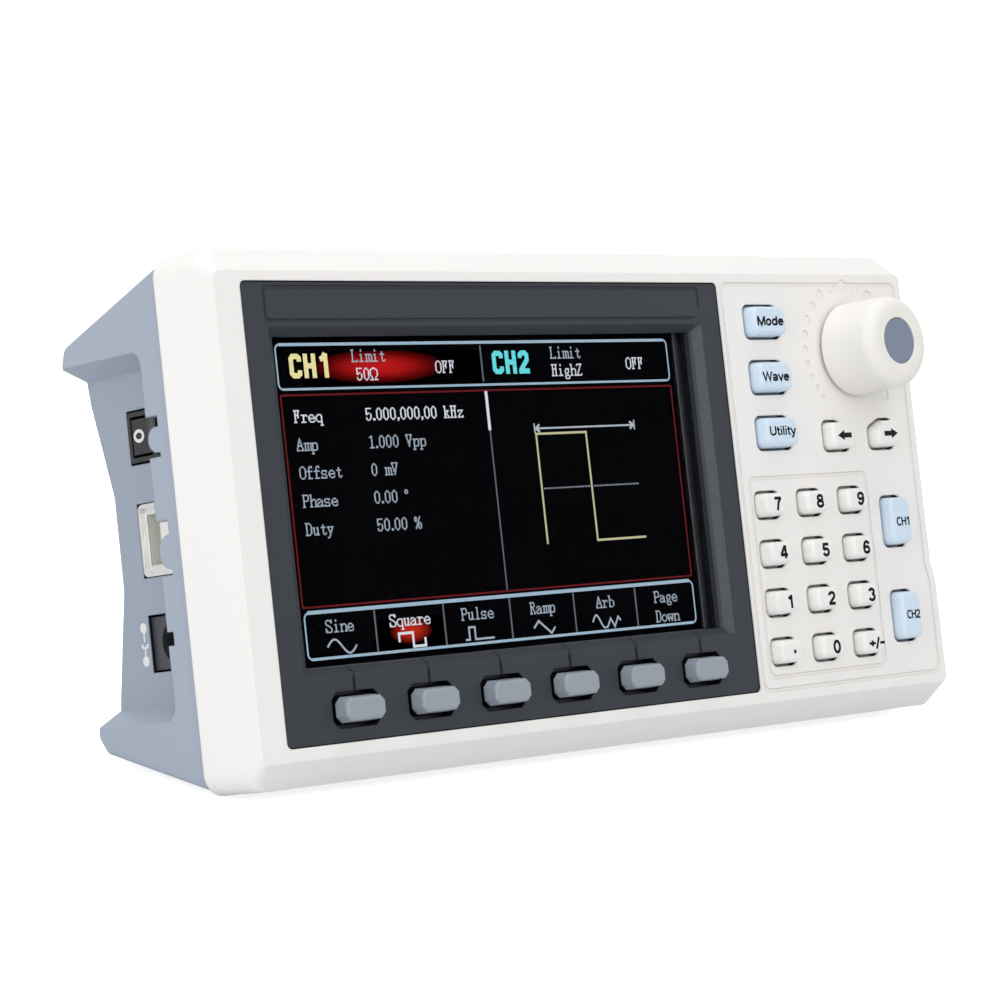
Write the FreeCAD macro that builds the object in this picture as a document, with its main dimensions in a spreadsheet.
"""Bench function generator with a tilted case, keys, screen, knob and side sockets.

Everything is drawn upright in the generator's own frame: X to the right, Y from the
front face (0) to the back, Z up from the bottom of the front bezel (0).  At the end
one common Placement leans all the pieces back so that the rubber feet lie flat, and
moves the origin to the bottom centre of the whole part.  Lengths are millimetres.
"""
import FreeCAD
import Part

import math
import os
import re

import Sketcher

Vector = FreeCAD.Vector
Rotation = FreeCAD.Rotation
Placement = FreeCAD.Placement

SIZES = {
    # posture: the case leans back until its sloped bottom is level
    "lean_angle": 15.7,
    # front bezel
    "bezel_width": 178.0,
    "bezel_height": 89.6,
    "bezel_depth": 13.8,
    "side_draft": 1.6,
    "bevel_depth": 4.5,
    "bevel_rise": 4.3,
    "rim_corner": 3.8,
    "face_corner": 1.2,
    "side_step": 0.95,
    "side_step_low": 24.0,
    "side_step_high": 28.0,
    "bezel_wall": 2.2,
    "key_plate": 2.0,
    "key_bay_margin": 2.0,
    "key_bay_inset": 0.7,
    # display panel and its window
    "panel_left": -82.0,
    "panel_right": 32.9,
    "panel_low": 6.55,
    "panel_high": 83.55,
    "panel_corner": 1.1,
    "panel_sunk": 0.3,
    "panel_thick": 2.9,
    "panel_fit": 0.1,
    "panel_ledge": 1.2,
    "ledge_thick": 0.9,
    "active_width": 95.04,
    "active_height": 53.86,
    "active_left": -72.0,
    "active_low": 20.24,
    "window_side": 2.8,
    "window_low": 1.04,
    "window_high": 0.5,
    "window_slope_side": 2.1,
    "window_slope_low": 1.3,
    "window_slope_depth": 1.7,
    "header_left": -77.05,
    "header_right": 27.65,
    "header_low": 76.93,
    "header_high": 82.6,
    "header_corner": 0.8,
    "line_width": 0.6,
    "line_depth": 0.25,
    "leader_width": 0.6,
    "leader_depth": 0.25,
    # screen
    "lens_border": 1.5,
    "lens_thick": 1.0,
    "screen_gap": 0.1,
    "glass_thick": 2.0,
    "glass_border": 2.4,
    "frame_border": 3.4,
    "frame_window": 0.9,
    "frame_lip": 0.7,
    "frame_depth": 3.7,
    # keys
    "key_gap": 0.35,
    "key_edge": 0.8,
    "key_travel": 0.8,
    "key_corner": 1.5,
    "key_draft": 5.0,
    "flange_rim": 0.8,
    "flange_thick": 1.2,
    "soft_flange_thick": 0.8,
    "soft_width": 9.4,
    "soft_height": 4.85,
    "soft_corner": 1.2,
    "soft_rise": 2.4,
    "soft_gap": 0.6,
    "soft_pitch": 16.85,
    "soft_shift": 0.4,
    "soft_level": 11.9,
    "soft_edge": 0.5,
    "mode_width": 9.6,
    "mode_height": 6.05,
    "mode_place": 44.45,
    "mode_round": 2.3,
    "key_rise": 2.4,
    "arrow_width": 7.3,
    "arrow_height": 5.6,
    "arrow_left_place": 62.2,
    "arrow_right_place": 75.6,
    "arrow_cut_width": 3.6,
    "arrow_cut_height": 1.7,
    "digit_width": 6.6,
    "digit_height": 4.8,
    "digit_left": 40.35,
    "digit_pitch": 11.9,
    "channel_width": 6.3,
    "channel_height": 9.6,
    "channel_place": 76.35,
    "channel_round": 2.0,
    # levels up the front, as shares of the bezel height, so that a lower front keeps its layout
    "knob_share": 0.7868,
    "mode_share": 0.8493,
    "mode_step_share": 0.1185,
    "arrow_share": 0.6004,
    "digit_share": 0.1507,
    "digit_step_share": 0.1032,
    "channel_one_share": 0.4079,
    "channel_two_share": 0.2009,
    # engraved lines of the key field
    "field_inset": 1.1,
    "field_low": 6.5,
    "field_top": 6.25,
    "field_right": 85.5,
    "field_corner": 1.6,
    "pad_frame_left": 36.1,
    "pad_frame_right": 69.6,
    "pad_frame_below": 4.6,
    "pad_frame_above": 5.15,
    "pad_frame_corner": 1.4,
    "dial_radius": 12.8,
    "dial_first_dot": 1.15,
    "dial_last_dot": 0.4,
    "dial_start": -44.0,
    "dial_sweep": 268.7,
    "dial_crowding": 0.36,
    "dial_dot_depth": 0.22,
    # knob and encoder
    "knob_place": 69.0,
    "knob_radius": 9.0,
    "knob_end_radius": 8.8,
    "knob_length": 12.2,
    "knob_clear": 0.2,
    "knob_edge": 2.5,
    "knob_base_edge": 0.3,
    "knob_disc_edge": 0.15,
    "knob_skirt_radius": 6.6,
    "knob_skirt_depth": 3.6,
    "knob_bore_depth": 9.0,
    "knob_push": 0.5,
    "disc_radius": 4.45,
    "disc_thick": 0.8,
    "disc_sunk": 0.2,
    "disc_fit": 0.05,
    "disc_edge": 0.2,
    "shaft_radius": 3.0,
    "shaft_end_edge": 0.3,
    "shaft_fit": 0.05,
    "bushing_radius": 3.5,
    "bushing_length": 3.2,
    "bushing_fit": 0.1,
    "nut_flats": 10.0,
    "nut_thick": 2.0,
    "encoder_side": 12.5,
    "encoder_depth": 6.0,
    "encoder_floor": 0.8,
    "encoder_roof": 1.0,
    "collar_radius": 4.2,
    "collar_thick": 1.0,
    "collar_fit": 0.3,
    "plunger_radius": 2.0,
    "plunger_step": 0.8,
    # key mat and front circuit board
    "board_thick": 1.6,
    "front_board_place": 6.0,
    "mat_thick": 0.8,
    "dome_radius": 2.0,
    "dome_play": 0.1,
    "board_left": -74.0,
    "board_margin": 1.2,
    "strip_low": 4.0,
    "strip_high": 15.8,
    "encoder_room": 0.5,
    "boss_radius": 1.9,
    "boss_hole": 0.8,
    "boss_room": 0.4,
    "boss_left_inset": 3.3,
    "boss_right_inset": 2.9,
    "boss_high_inset": 2.7,
    "boss_low_inset": 2.4,
    "boss_corner_rise": 3.5,
    "boss_over_arrows": 6.2,
    "strip_boss_inset": 3.0,
    "strip_boss_pitch": 69.0,
    "strip_boss_rise": 1.6,
    "mat_inset": 0.4,
    "dome_root": 0.2,
    "board_corner": 1.0,
    "front_head_thick": 1.2,
    "front_shank_reach": 2.4,
    "front_shank_fit": 0.1,
    "board_hole_room": 0.4,
    # rear casing
    "casing_width": 176.0,
    "casing_high": 88.4,
    "casing_low": 0.95,
    "casing_wall": 2.2,
    "casing_corner_share": 0.4,
    "casing_top_depth": 42.0,
    "casing_top_slope": 0.352,
    "casing_foot_depth": 41.0,
    "ear_depth": 43.1,
    "ear_high": 75.6,
    "ear_low": 11.5,
    "ear_round": 2.2,
    "back_depth": 42.2,
    "back_high": 68.5,
    "back_low": 17.5,
    "hollow_depth": 38.2,
    "hollow_high": 52.0,
    "hollow_low": 36.0,
    "casing_edge": 0.7,
    # side channels that hold the sockets
    "channel_front": 20.9,
    "channel_floor": 83.0,
    "channel_rim_low": 13.0,
    "channel_rim_high": 75.0,
    "channel_floor_low": 15.7,
    "channel_floor_high": 72.6,
    "channel_corner": 2.4,
    # notches in the front rim of the left channel, which let plugs and a finger in
    "notch_front": 17.8,
    "notch_overlap": 0.6,
    "tab_back": 20.8,
    "switch_notch_low": 56.9,
    "switch_notch_high": 63.8,
    "switch_tab_level": 59.8,
    "switch_tab_radius": 2.15,
    "data_notch_low": 37.1,
    "data_notch_high": 46.3,
    "data_tab_level": 41.0,
    "data_tab_radius": 2.9,
    "inlet_notch_low": 25.5,
    "inlet_notch_high": 27.8,
    "inlet_notch_front": 19.3,
    # vents in the back
    "vent_count": 9.0,
    "vent_pitch": 7.0,
    "vent_width": 2.4,
    "vent_length": 22.0,
    # case screws
    "post_side": 79.2,
    "post_high": 71.5,
    "post_low": 16.0,
    "post_radius": 3.2,
    "post_front": 8.4,
    "post_rib": 2.4,
    "tube_radius": 3.5,
    "screw_radius": 1.3,
    "screw_room": 0.15,
    "screw_neck": 0.5,
    "pilot_start": 0.6,
    "screw_head_radius": 2.3,
    "screw_head_thick": 1.8,
    "screw_head_place": 22.0,
    "screw_tip": 9.6,
    "well_radius": 2.5,
    # main board
    "main_board_place": 32.3,
    "main_board_side": 79.6,
    "main_board_low": 10.9,
    "main_board_high": 75.6,
    "main_post_side": 58.0,
    "main_post_high": 70.0,
    "main_post_low": 16.0,
    "main_post_radius": 2.8,
    "main_screw_radius": 1.2,
    "main_head_radius": 2.2,
    "main_head_thick": 1.5,
    "main_hole_room": 0.2,
    "main_shank_reach": 4.0,
    "main_pilot_reach": 4.5,
    "main_notch_room": 0.4,
    "can_left": -30.0,
    "can_right": 18.0,
    "can_low": 26.0,
    "can_high": 60.0,
    "can_tall": 6.0,
    "can_wall": 0.5,
    # ribbons between the boards
    "ribbon_width": 22.0,
    "ribbon_thick": 1.0,
    "ribbon_shift": 7.0,
    "ribbon_bend": 2.5,
    "plug_tall": 4.2,
    "plug_height": 5.4,
    "plug_side": 1.5,
    "ribbon_place": 50.0,
    "ribbon_level": 30.0,
    "screen_ribbon_place": -48.0,
    # power switch
    "switch_low": 57.2,
    "switch_high": 65.8,
    "switch_front": 20.95,
    "switch_back": 32.25,
    "switch_rim": 0.3,
    "switch_depth": 11.0,
    "switch_wall": 0.8,
    "rocker_play": 0.5,
    "rocker_reach": 2.3,
    "rocker_valley": 1.4,
    "rocker_drum": 3.3,
    "rocker_drum_edge": 1.2,
    "rocker_top_edge": 0.4,
    "rocker_side_sink": 0.4,
    "rocker_side_edge": 0.3,
    "rocker_pin_short": 0.1,
    "rocker_tilt": 11.0,
    "rocker_pin": 0.8,
    "rocker_pin_fit": 0.05,
    "rocker_cavity": 4.6,
    # power inlet and data socket
    "port_fit": 0.35,
    "port_sunk": 0.7,
    "inlet_low": 21.8,
    "inlet_high": 30.9,
    "inlet_front": 21.3,
    "inlet_depth": 14.0,
    "inlet_hole_place": 26.2,
    "inlet_hole_radius": 2.9,
    "inlet_hole_depth": 10.5,
    "inlet_pin_radius": 1.0,
    "inlet_pin_length": 9.5,
    "data_low": 37.9,
    "data_high": 49.9,
    "data_front": 21.3,
    "data_depth": 16.0,
    "data_hole_width": 8.6,
    "data_hole_height": 7.9,
    "data_hole_depth": 9.2,
    "tongue_width": 5.6,
    "tongue_height": 3.2,
    "tongue_length": 8.4,
    # output sockets
    "output_count": 3.0,
    "output_low": 27.0,
    "output_pitch": 16.5,
    "output_depth": 27.6,
    "output_radius": 4.8,
    "output_bore": 4.05,
    "output_bore_depth": 9.0,
    "output_reach": 15.0,
    "output_flange": 6.4,
    "output_flange_thick": 1.0,
    "output_fit": 0.2,
    "output_tip_edge": 0.3,
    "output_bore_edge": 0.2,
    "output_nut_flats": 12.0,
    "output_nut_thick": 2.2,
    "lug_radius": 1.0,
    "lug_place": 10.2,
    "lug_reach": 5.6,
    "lug_root": 0.3,
    "insulator_radius": 2.4,
    "insulator_length": 7.0,
    "insulator_edge": 0.3,
    "contact_radius": 1.1,
    "contact_hole": 0.5,
    "housing_side": 14.0,
    "housing_depth": 14.0,
    # rubber feet
    "foot_radius": 4.5,
    "foot_height": 1.5,
    "foot_edge": 0.4,
    "foot_side": 62.0,
    "foot_front": 19.8,
    "foot_back": 32.2,
}

doc = FreeCAD.newDocument("FunctionGenerator")
sheet = doc.addObject("Spreadsheet::Sheet", "Sizes")
for row, (alias, amount) in enumerate(SIZES.items(), start=1):
    sheet.set("A%d" % row, alias)
    sheet.set("B%d" % row, str(amount))
    sheet.setAlias("B%d" % row, alias)
doc.recompute()

# levels that follow from other sizes, usable in expressions like the sizes themselves
LEVELS = {
    "knob_gap": "(knob_push + knob_clear)",
    "knob_level": "(bezel_height * knob_share)",
    "mode_top": "(bezel_height * mode_share)",
    "mode_step": "(bezel_height * mode_step_share)",
    "arrow_level": "(bezel_height * arrow_share)",
    "digit_low": "(bezel_height * digit_share)",
    "digit_step": "(bezel_height * digit_step_share)",
    "channel_one": "(bezel_height * channel_one_share)",
    "channel_two": "(bezel_height * channel_two_share)",
    "field_high": "(bezel_height - field_top)",
}
WORD = re.compile(r"[A-Za-z_][A-Za-z_0-9]*")


def linked(text):
    """The expression with levels written out and every size name pointed at the spreadsheet."""
    spelled = WORD.sub(lambda word: LEVELS.get(word.group(), word.group()), str(text))
    return WORD.sub(lambda word: "Sizes." + word.group() if word.group() in SIZES else word.group(), spelled)


def number(text):
    """What an expression of sizes comes to, in millimetres or degrees."""
    return float(sheet.evalExpression(linked(text)))


def bind(obj, prop, text):
    obj.setExpression(prop, linked(text))


# ---------------------------------------------------------------- solids from primitives

def block(name, x_from, x_to, y_from, y_to, z_from, z_to):
    """A box between six expressions."""
    box = doc.addObject("Part::Box", name)
    bind(box, "Length", "(%s) - (%s)" % (x_to, x_from))
    bind(box, "Width", "(%s) - (%s)" % (y_to, y_from))
    bind(box, "Height", "(%s) - (%s)" % (z_to, z_from))
    bind(box, "Placement.Base.x", x_from)
    bind(box, "Placement.Base.y", y_from)
    bind(box, "Placement.Base.z", z_from)
    return box


TURN_TO = {
    "x": Rotation(Vector(0, 1, 0), 90),
    "y": Rotation(Vector(1, 0, 0), -90),
    "z": Rotation(),
}


def rod(name, axis, x, y, z, length, radius):
    """A cylinder that starts at (x, y, z) and runs along the axis."""
    cylinder = doc.addObject("Part::Cylinder", name)
    cylinder.Placement = Placement(Vector(), TURN_TO[axis])
    bind(cylinder, "Height", length)
    bind(cylinder, "Radius", radius)
    bind(cylinder, "Placement.Base.x", x)
    bind(cylinder, "Placement.Base.y", y)
    bind(cylinder, "Placement.Base.z", z)
    return cylinder


def hexagon(name, axis, length, flats):
    """A hexagonal prism that starts at its own origin, flats apart by the given size."""
    prism = doc.addObject("Part::Prism", name)
    prism.Placement = Placement(Vector(), TURN_TO[axis])
    prism.Polygon = 6
    bind(prism, "Circumradius", "(%s) / sqrt(3)" % flats)
    bind(prism, "Height", length)
    return prism


def group(name, members):
    """Several separate solids that belong to one node, or to one tool."""
    compound = doc.addObject("Part::Compound", name)
    compound.Links = members
    return compound


def joined(name, members):
    fuse = doc.addObject("Part::MultiFuse", name)
    fuse.Shapes = members
    return fuse


def cut(name, base, tools):
    result = doc.addObject("Part::Cut", name)
    result.Base = base
    result.Tool = tools[0] if len(tools) == 1 else group(name + "Tools", tools)
    return result


def placed(name, member, x, y, z):
    """A copy of a piece's shape carried to (x, y, z)."""
    compound = doc.addObject("Part::Compound", name)
    compound.Links = [member]
    bind(compound, "Placement.Base.x", x)
    bind(compound, "Placement.Base.y", y)
    bind(compound, "Placement.Base.z", z)
    return compound


def edge_at(edge, axis, level):
    """True for an edge that lies wholly in the plane at this level of the axis."""
    return all(abs(vertex.Point.dot(axis) - level) < 1e-4 for vertex in edge.Vertexes)


X_AXIS = Vector(1, 0, 0)
Y_AXIS = Vector(0, 1, 0)
Z_AXIS = Vector(0, 0, 1)


def eased(name, base, radius, chosen, kind="Part::Fillet"):
    """Fillet or chamfer the edges of base that the test chooses."""
    doc.recompute()
    size = number(radius)
    feature = doc.addObject(kind, name)
    feature.Base = base
    feature.Edges = [(index, size, size) for index, edge in enumerate(base.Shape.Edges, start=1) if chosen(edge)]
    return feature


# ---------------------------------------------------------------- solids from sketches

def plane_of(body, role):
    return next(item for item in body.Origin.OriginFeatures if item.Role == role)


def draw_loop(sketch, corners):
    """A closed outline in the sketch: corners are (x, y, radius) expressions, counter-clockwise.

    Each corner point is tied to the sheet, a rounded one through a point on both its sides.
    """
    first_line = len(sketch.Geometry)
    count = len(corners)
    points = [Vector(number(x), number(y), 0) for x, y, _ in corners]
    radii = [number(radius) for _, _, radius in corners]
    cuts = []
    for index in range(count):
        back = points[index - 1] - points[index]
        ahead = points[(index + 1) % count] - points[index]
        back.normalize()
        ahead.normalize()
        half_turn = back.getAngle(ahead) / 2
        reach = radii[index] / math.tan(half_turn)
        cuts.append((points[index] + back * reach, points[index] + ahead * reach, back, ahead, half_turn))
    lines = [
        Part.LineSegment(cuts[index][1], cuts[(index + 1) % count][0])
        for index in range(count)
    ]
    sketch.addGeometry(lines, False)
    rules = []
    bound = []
    for index, (x, y, radius) in enumerate(corners):
        before = first_line + (index - 1) % count
        after = first_line + index
        start, finish, back, ahead, half_turn = cuts[index]
        if radii[index] <= 0:
            rules.append(Sketcher.Constraint("Coincident", before, 2, after, 1))
            anchor = (after, 1)
        else:
            bisector = back + ahead
            bisector.normalize()
            centre = points[index] + bisector * (radii[index] / math.sin(half_turn))
            turns_left = back.cross(ahead).z < 0
            first, last = (start, finish) if turns_left else (finish, start)
            from_angle = math.atan2(first.y - centre.y, first.x - centre.x)
            to_angle = math.atan2(last.y - centre.y, last.x - centre.x)
            circle = Part.Circle(centre, Vector(0, 0, 1), radii[index])
            arc = sketch.addGeometry(Part.ArcOfCircle(circle, from_angle, to_angle), False)
            rules.append(Sketcher.Constraint("Tangent", before, 2, arc, 1 if turns_left else 2))
            rules.append(Sketcher.Constraint("Tangent", after, 1, arc, 2 if turns_left else 1))
            point = sketch.addGeometry(Part.Point(points[index]), True)
            rules.append(Sketcher.Constraint("PointOnObject", point, 1, before))
            rules.append(Sketcher.Constraint("PointOnObject", point, 1, after))
            rules.append(Sketcher.Constraint("Radius", arc, radii[index]))
            bound.append((len(rules) - 1, radius))
            anchor = (point, 1)
        rules.append(Sketcher.Constraint("DistanceX", -1, 1, anchor[0], anchor[1], points[index].x))
        bound.append((len(rules) - 1, x))
        rules.append(Sketcher.Constraint("DistanceY", -1, 1, anchor[0], anchor[1], points[index].y))
        bound.append((len(rules) - 1, y))
    first_rule = sketch.ConstraintCount
    sketch.addConstraint(rules)
    for place, text in bound:
        bind(sketch, "Constraints[%d]" % (first_rule + place), text)


def rectangle(x_from, x_to, y_from, y_to, radius="0"):
    """The corners of a rectangle, all with the same radius."""
    return [
        (x_from, y_from, radius),
        (x_to, y_from, radius),
        (x_to, y_to, radius),
        (x_from, y_to, radius),
    ]


def sketched(body, name, role, level, loops):
    """A sketch on one of the body's own planes, moved off it to the given level."""
    sketch = body.newObject("Sketcher::SketchObject", name)
    sketch.AttachmentSupport = [(plane_of(body, role), "")]
    sketch.MapMode = "FlatFace"
    sign = "-1" if role == "XZ_Plane" else "1"
    bind(sketch, "AttachmentOffset.Base.z", "%s * (%s)" % (sign, level))
    doc.recompute()
    for corners in loops:
        draw_loop(sketch, corners)
    return sketch


def plate(name, y_front, y_back, loops):
    """A PartDesign body: outlines in X and Z padded from y_back to y_front, inner ones as holes."""
    body = doc.addObject("PartDesign::Body", name)
    sketch = sketched(body, name + "Outline", "XZ_Plane", y_back, loops)
    pad = body.newObject("PartDesign::Pad", name + "Pad")
    pad.Profile = sketch
    bind(pad, "Length", "(%s) - (%s)" % (y_back, y_front))
    return body


def ring(name, y_front, y_back, outer, inner):
    """The tool that engraves a line: the strip between two outlines."""
    return plate(name, y_front, y_back, [outer, inner])


def turned(name, corners):
    """A PartDesign body turned about its own Z axis from an outline in X (radius) and Z."""
    body = doc.addObject("PartDesign::Body", name)
    sketch = sketched(body, name + "Outline", "XZ_Plane", "0", [corners])
    revolution = body.newObject("PartDesign::Revolution", name + "Turn")
    revolution.Profile = sketch
    revolution.ReferenceAxis = (sketch, ["V_Axis"])
    revolution.Angle = 360
    return body


# ---------------------------------------------------------------- the list of nodes

LEAN = Rotation(Vector(1, 0, 0), -number("lean_angle"))
nodes = []


def node(name, obj, x="0", y="0", z="0", turn=Rotation()):
    """Name a finished piece and stand it in the upright frame at (x, y, z)."""
    obj.Label = name
    place = Placement(Vector(number(x), number(y), number(z)), turn)
    nodes.append((obj, place))
    return obj


BEZEL_SIDE = "bezel_width / 2"
FACE_SIDE = "bezel_width / 2 - side_draft"
PANEL_BACK = "panel_sunk + panel_thick"
LEDGE_BACK = "panel_sunk + panel_thick + ledge_thick"
ACTIVE_RIGHT = "active_left + active_width"
ACTIVE_HIGH = "active_low + active_height"
ACTIVE_MIDDLE = "active_left + active_width / 2"
WINDOW_LEFT = "active_left - window_side"
WINDOW_RIGHT = "active_left + active_width + window_side"
WINDOW_LOW = "active_low - window_low"
WINDOW_HIGH = "active_low + active_height + window_high"
KEY_BAY_LEFT = "panel_right + key_bay_margin"
KEY_BAY_RIGHT = "bezel_width / 2 - side_draft - bezel_wall"
KEY_BAY_LOW = "bevel_rise + key_bay_inset"
KEY_BAY_HIGH = "bezel_height - bevel_rise - key_bay_inset"
BOARD_BACK = "front_board_place + board_thick"
MAT_FRONT = "front_board_place - mat_thick"

# ---------------------------------------------------------------- keys
# A key is a cap that stands through its hole and a flange that rests behind the plate.
# name: (x, z, width, height, kind)

KEYS = {
    "key_mode": ("mode_place", "mode_top", "mode_width", "mode_height", "mode"),
    "key_wave": ("mode_place", "mode_top - mode_step", "mode_width", "mode_height", "mode"),
    "key_utility": ("mode_place", "mode_top - 2 * mode_step", "mode_width", "mode_height", "mode"),
    "key_left": ("arrow_left_place", "arrow_level", "arrow_width", "arrow_height", "left"),
    "key_right": ("arrow_right_place", "arrow_level", "arrow_width", "arrow_height", "right"),
    "key_channel_1": ("channel_place", "channel_one", "channel_width", "channel_height", "channel"),
    "key_channel_2": ("channel_place", "channel_two", "channel_width", "channel_height", "channel"),
}
KEYPAD = (("point", "0", "sign"), ("1", "2", "3"), ("4", "5", "6"), ("7", "8", "9"))
for line, names in enumerate(KEYPAD):
    for column, key in enumerate(names):
        place = "digit_left + %d * digit_pitch" % column
        level = "digit_low + %d * digit_step" % line
        KEYS["key_" + key] = (place, level, "digit_width", "digit_height", "plain")
SOFT_KEY_COUNT = 6
SOFT_KEYS = {
    "soft_key_%d" % (index + 1):
        "%s + soft_shift + (%d - %.1f) * soft_pitch" % (ACTIVE_MIDDLE, index, (SOFT_KEY_COUNT - 1) / 2)
    for index in range(SOFT_KEY_COUNT)
}


def key_outline(width, height, kind, growth):
    """The outline of a cap about its own centre, grown all round for its hole."""
    half_width = "(%s / 2 + %s)" % (width, growth)
    half_height = "(%s / 2 + %s)" % (height, growth)
    plain = "key_corner"
    top_right = [(half_width, half_height, {"mode": "mode_round", "channel": "channel_round"}.get(kind, plain))]
    top_left = [("-" + half_width, half_height, plain)]
    if kind == "left":
        top_right = [
            (half_width, half_height + " - arrow_cut_height", plain),
            (half_width + " - arrow_cut_width", half_height, "key_corner"),
        ]
    if kind == "right":
        top_left = [
            ("-%s + arrow_cut_width" % half_width, half_height, "key_corner"),
            ("-" + half_width, half_height + " - arrow_cut_height", plain),
        ]
    return [
        ("-" + half_width, "-" + half_height, plain),
        (half_width, "-" + half_height, plain),
    ] + top_right + top_left


def soft_outline(growth):
    """An eight-sided outline: a rectangle with its corners cut off."""
    half_width = "(soft_width / 2 + %s)" % growth
    half_height = "(soft_height / 2 + %s)" % growth
    inner_width = "(soft_width / 2 + %s - soft_corner)" % growth
    inner_height = "(soft_height / 2 + %s - soft_corner)" % growth
    return [
        ("-" + inner_width, "-" + half_height, "0"),
        (inner_width, "-" + half_height, "0"),
        (half_width, "-" + inner_height, "0"),
        (half_width, inner_height, "0"),
        (inner_width, half_height, "0"),
        ("-" + inner_width, half_height, "0"),
        ("-" + half_width, inner_height, "0"),
        ("-" + half_width, "-" + inner_height, "0"),
    ]


def make_key(name, outline, width, height, rise, plate_back, flange, edge):
    """A drafted cap from its top face, rise in front of the face, to a flange behind the plate."""
    title = "".join(word.capitalize() for word in name.split("_"))
    cap = plate(title + "Cap", "-(%s)" % rise, plate_back, [outline])
    bind(cap.Tip, "TaperAngle", "-key_draft")
    soft_cap = eased(title + "Edge", cap, edge, lambda e: edge_at(e, Y_AXIS, -number(rise)))
    rim = block(
        title + "Flange",
        "-%s / 2 - flange_rim" % width, "%s / 2 + flange_rim" % width,
        plate_back, "%s + %s" % (plate_back, flange),
        "-%s / 2 - flange_rim" % height, "%s / 2 + flange_rim" % height,
    )
    return joined(title, [soft_cap, rim])


for name, (x, z, width, height, kind) in KEYS.items():
    outline = key_outline(width, height, kind, "0")
    key = make_key(name, outline, width, height, "key_rise", "key_plate", "flange_thick", "key_edge")
    node(name, key, x=x, z=z)
for name, x in SOFT_KEYS.items():
    rise = "soft_rise"
    key = make_key(name, soft_outline("0"), "soft_width", "soft_height", rise, PANEL_BACK,
                   "soft_flange_thick", "soft_edge")
    node(name, key, x=x, z="soft_level")

# ---------------------------------------------------------------- front bezel


def bezel_outline(side, low, high, corner):
    """A rounded rectangle whose right side steps in a little above the lower third."""
    return [
        ("-(%s)" % side, low, corner),
        (side, low, corner),
        (side, "side_step_low", "0"),
        ("%s - side_step" % side, "side_step_high", "0"),
        ("%s - side_step" % side, high, corner),
        ("-(%s)" % side, high, corner),
    ]


def make_bezel_solid():
    """Three outlines lofted into the tray's outside: flat face, bevel, drafted sides."""
    body = doc.addObject("PartDesign::Body", "BezelSolid")
    rim = sketched(body, "BezelRim", "XZ_Plane", "bezel_depth",
                   [bezel_outline(BEZEL_SIDE, "0", "bezel_height", "rim_corner")])
    shoulder_side = BEZEL_SIDE + " - side_draft * (1 - bevel_depth / bezel_depth)"
    shoulder = sketched(body, "BezelShoulder", "XZ_Plane", "bevel_depth",
                        [bezel_outline(shoulder_side, "0", "bezel_height", "rim_corner")])
    face = sketched(body, "BezelFace", "XZ_Plane", "0",
                    [bezel_outline(FACE_SIDE, "bevel_rise", "bezel_height - bevel_rise", "face_corner")])
    loft = body.newObject("PartDesign::AdditiveLoft", "BezelLoft")
    loft.Profile = rim
    loft.Sections = [shoulder, face]
    loft.Ruled = True
    return body


# (x, z, depth it starts from) of the bosses that carry the front board
BEZEL_BOSSES = (
    (KEY_BAY_LEFT + " + boss_left_inset", KEY_BAY_HIGH + " - boss_high_inset", "key_plate"),
    (KEY_BAY_LEFT + " + boss_left_inset", KEY_BAY_LOW + " + boss_low_inset", "key_plate"),
    (KEY_BAY_RIGHT + " - boss_right_inset", "arrow_level + boss_over_arrows", "key_plate"),
    (KEY_BAY_RIGHT + " - boss_right_inset", KEY_BAY_LOW + " + boss_corner_rise", "key_plate"),
    ("board_left + strip_boss_inset", "strip_low + strip_boss_rise", LEDGE_BACK),
    ("board_left + strip_boss_inset + strip_boss_pitch", "strip_low + strip_boss_rise", LEDGE_BACK),
)
CORNERS = [(side, level) for side in (-1, 1) for level in ("post_low", "post_high")]


def post_rods(name, y_from, y_to, radius):
    """One rod at each corner screw."""
    return [
        rod("%s%d" % (name, index), "y", "%d * post_side" % side, y_from, level, "(%s) - (%s)" % (y_to, y_from), radius)
        for index, (side, level) in enumerate(CORNERS)
    ]


def post_ribs():
    """A rib from each corner post to the side wall."""
    ribs = []
    for index, (side, level) in enumerate(CORNERS):
        wall = "bezel_width / 2 - side_draft - bezel_wall / 2"
        span = ("-(%s)" % wall, "-post_side") if side < 0 else ("post_side", "%s - side_step / 2" % wall)
        ribs.append(block(
            "PostRib%d" % index, span[0], span[1], "post_front", "bezel_depth",
            level + " - post_rib / 2", level + " + post_rib / 2",
        ))
    return ribs


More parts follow.
